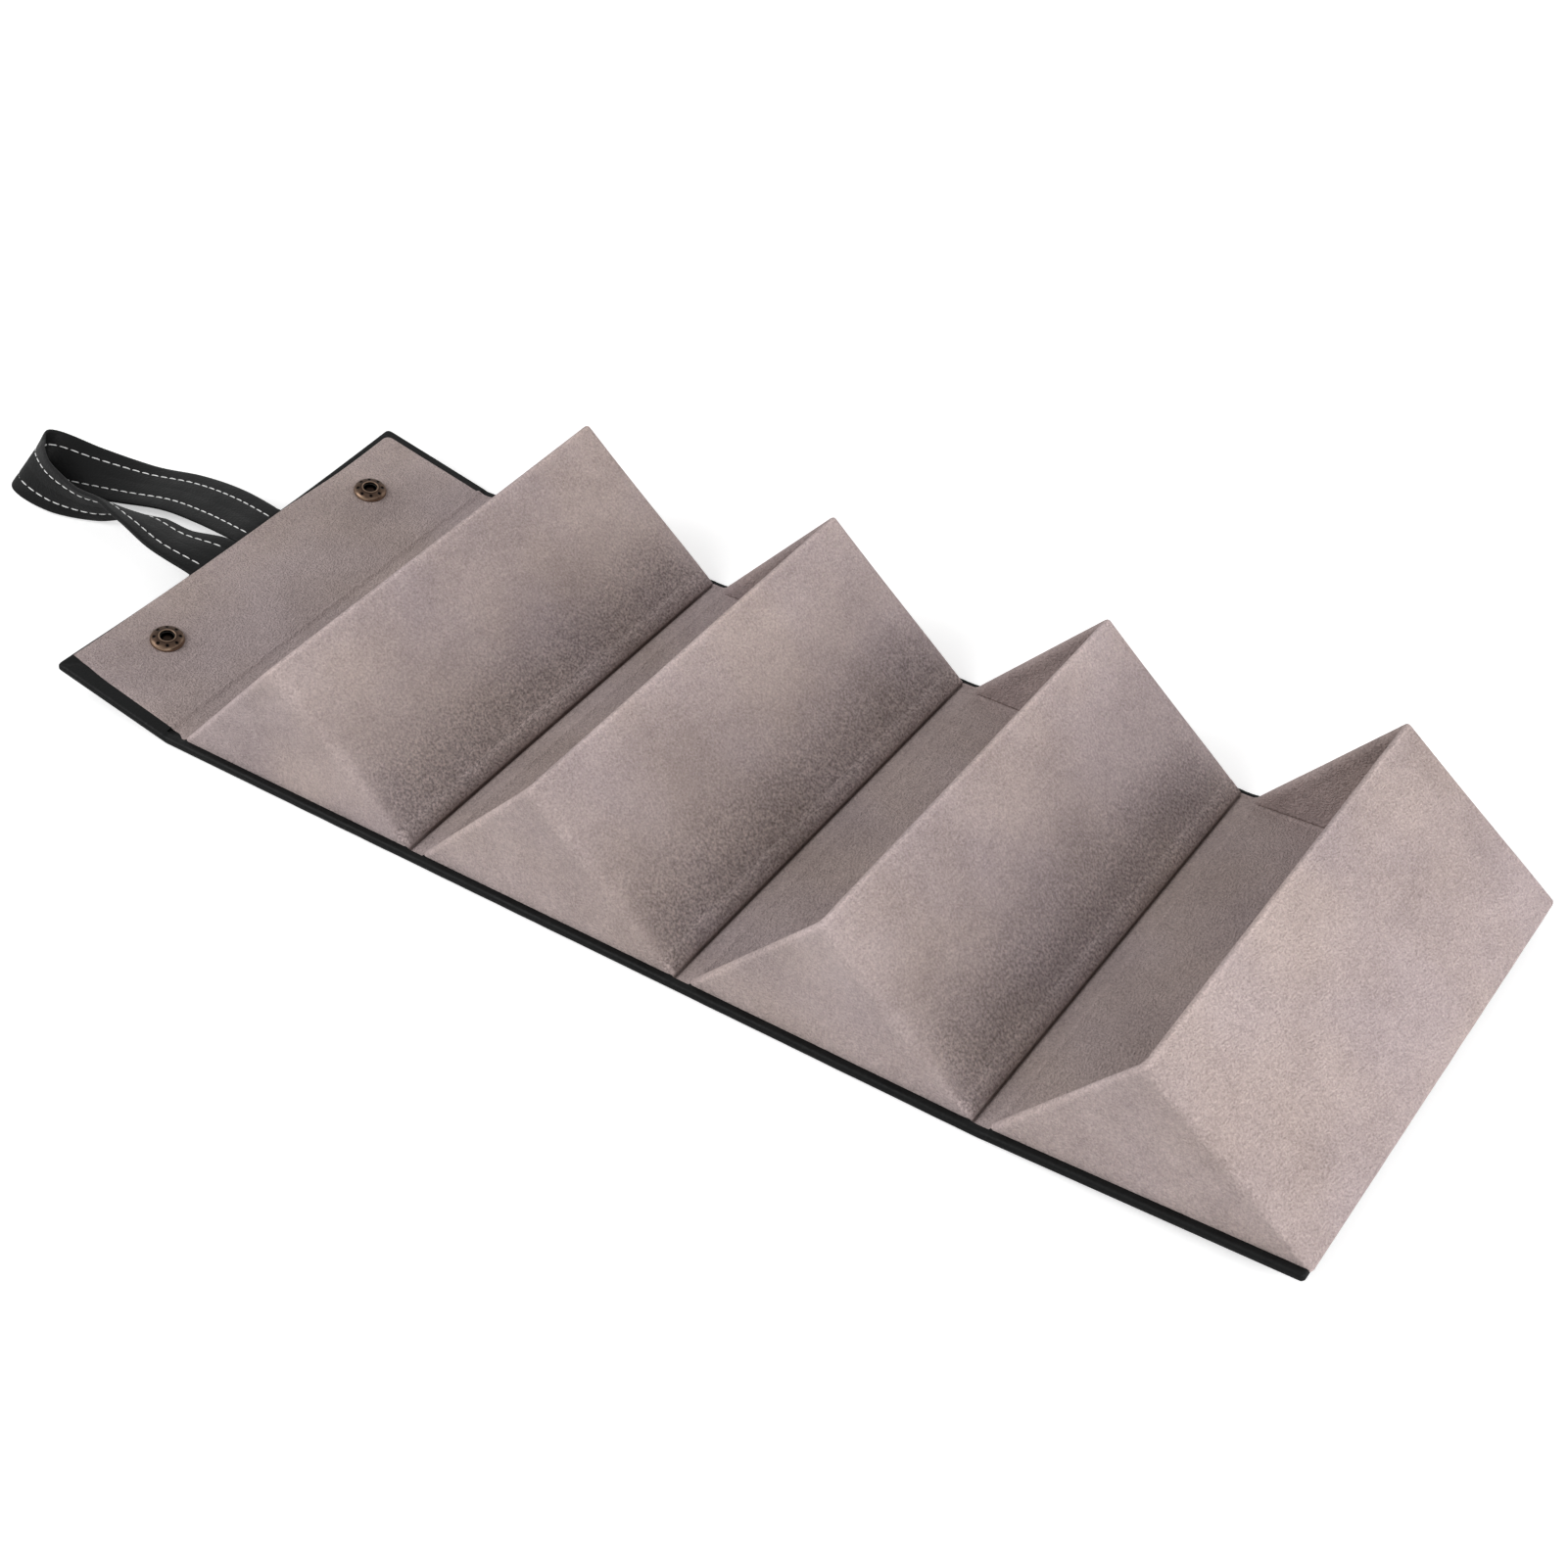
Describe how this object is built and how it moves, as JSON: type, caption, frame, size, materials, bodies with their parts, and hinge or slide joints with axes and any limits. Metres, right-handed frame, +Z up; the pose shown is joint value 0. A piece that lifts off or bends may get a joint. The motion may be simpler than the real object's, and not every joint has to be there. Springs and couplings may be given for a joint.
{
  "type": "sunglasses storage case",
  "caption": "Fold-up sunglasses case lying open: triangular suede-lined pockets in a row on a black leather cover, with a snap flap and a stitched strap loop.",
  "frame": {"origin": "On the table, at the middle of the underside of the first pocket, the one beside the flap.", "axes": "+X runs from the flap to the last pocket, +Y across the case to its far side, +Z up."},
  "size_m": [0.6069, 0.1788, 0.0585],
  "materials": {
    "leather_black": "satin",
    "suede_taupe": "matte",
    "greyboard": "matte",
    "antique_brass": "satin",
    "spring_wire": "satin"
  },
  "bodies": {
    "pocket_1": {"cover_1": "leather_black", "floor_board_1": "greyboard", "floor_lining_1": "suede_taupe", "wall_board_1": "greyboard", "wall_sleeve_1": "suede_taupe", "gusset_board_near_1": "greyboard", "gusset_sleeve_near_1": "suede_taupe", "gusset_board_far_1": "greyboard", "gusset_sleeve_far_1": "suede_taupe"},
    "pocket_2": {"cover_2": "leather_black", "floor_board_2": "greyboard", "floor_lining_2": "suede_taupe", "wall_board_2": "greyboard", "wall_sleeve_2": "suede_taupe", "gusset_board_near_2": "greyboard", "gusset_sleeve_near_2": "suede_taupe", "gusset_board_far_2": "greyboard", "gusset_sleeve_far_2": "suede_taupe"},
    "pocket_3": {"cover_3": "leather_black", "floor_board_3": "greyboard", "floor_lining_3": "suede_taupe", "wall_board_3": "greyboard", "wall_sleeve_3": "suede_taupe", "gusset_board_near_3": "greyboard", "gusset_sleeve_near_3": "suede_taupe", "gusset_board_far_3": "greyboard", "gusset_sleeve_far_3": "suede_taupe"},
    "pocket_4": {"cover_4": "leather_black", "floor_board_4": "greyboard", "floor_lining_4": "suede_taupe", "wall_board_4": "greyboard", "wall_sleeve_4": "suede_taupe", "gusset_board_near_4": "greyboard", "gusset_sleeve_near_4": "suede_taupe", "gusset_board_far_4": "greyboard", "gusset_sleeve_far_4": "suede_taupe", "stud_near": "antique_brass", "stud_post_near": "antique_brass", "stud_far": "antique_brass", "stud_post_far": "antique_brass"},
    "flap": {"flap_cover": "leather_black", "flap_board": "greyboard", "flap_lining": "suede_taupe", "strap_end_near": "leather_black", "socket_near": "antique_brass", "socket_ring_near": "spring_wire", "cap_near": "antique_brass", "strap_end_far": "leather_black", "socket_far": "antique_brass", "socket_ring_far": "spring_wire", "cap_far": "antique_brass"},
    "strap": {"strap": "leather_black"}
  },
  "joints": [
    {"name": "flap_fold", "type": "hinge", "parent": "pocket_1", "child": "flap", "pos_m": [-0.0595, 0, 0.0014], "axis": [0, 1, 0], "range_deg": [-10, 69]},
    {"name": "fold_12", "type": "hinge", "parent": "pocket_1", "child": "pocket_2", "pos_m": [0.0554, 0, 0.0014], "axis": [0, -1, 0], "range_deg": [0, 90]},
    {"name": "fold_23", "type": "hinge", "parent": "pocket_2", "child": "pocket_3", "pos_m": [0.1662, 0, 0.0014], "axis": [0, -1, 0], "range_deg": [0, 90]},
    {"name": "fold_34", "type": "hinge", "parent": "pocket_3", "child": "pocket_4", "pos_m": [0.277, 0, 0.0014], "axis": [0, -1, 0], "range_deg": [0, 86.9]},
    {"name": "strap_swing", "type": "hinge", "parent": "flap", "child": "strap", "pos_m": [-0.11137, 0, 0.01368], "axis": [0, -1, 0], "range_deg": [-80, 60]}
  ]
}
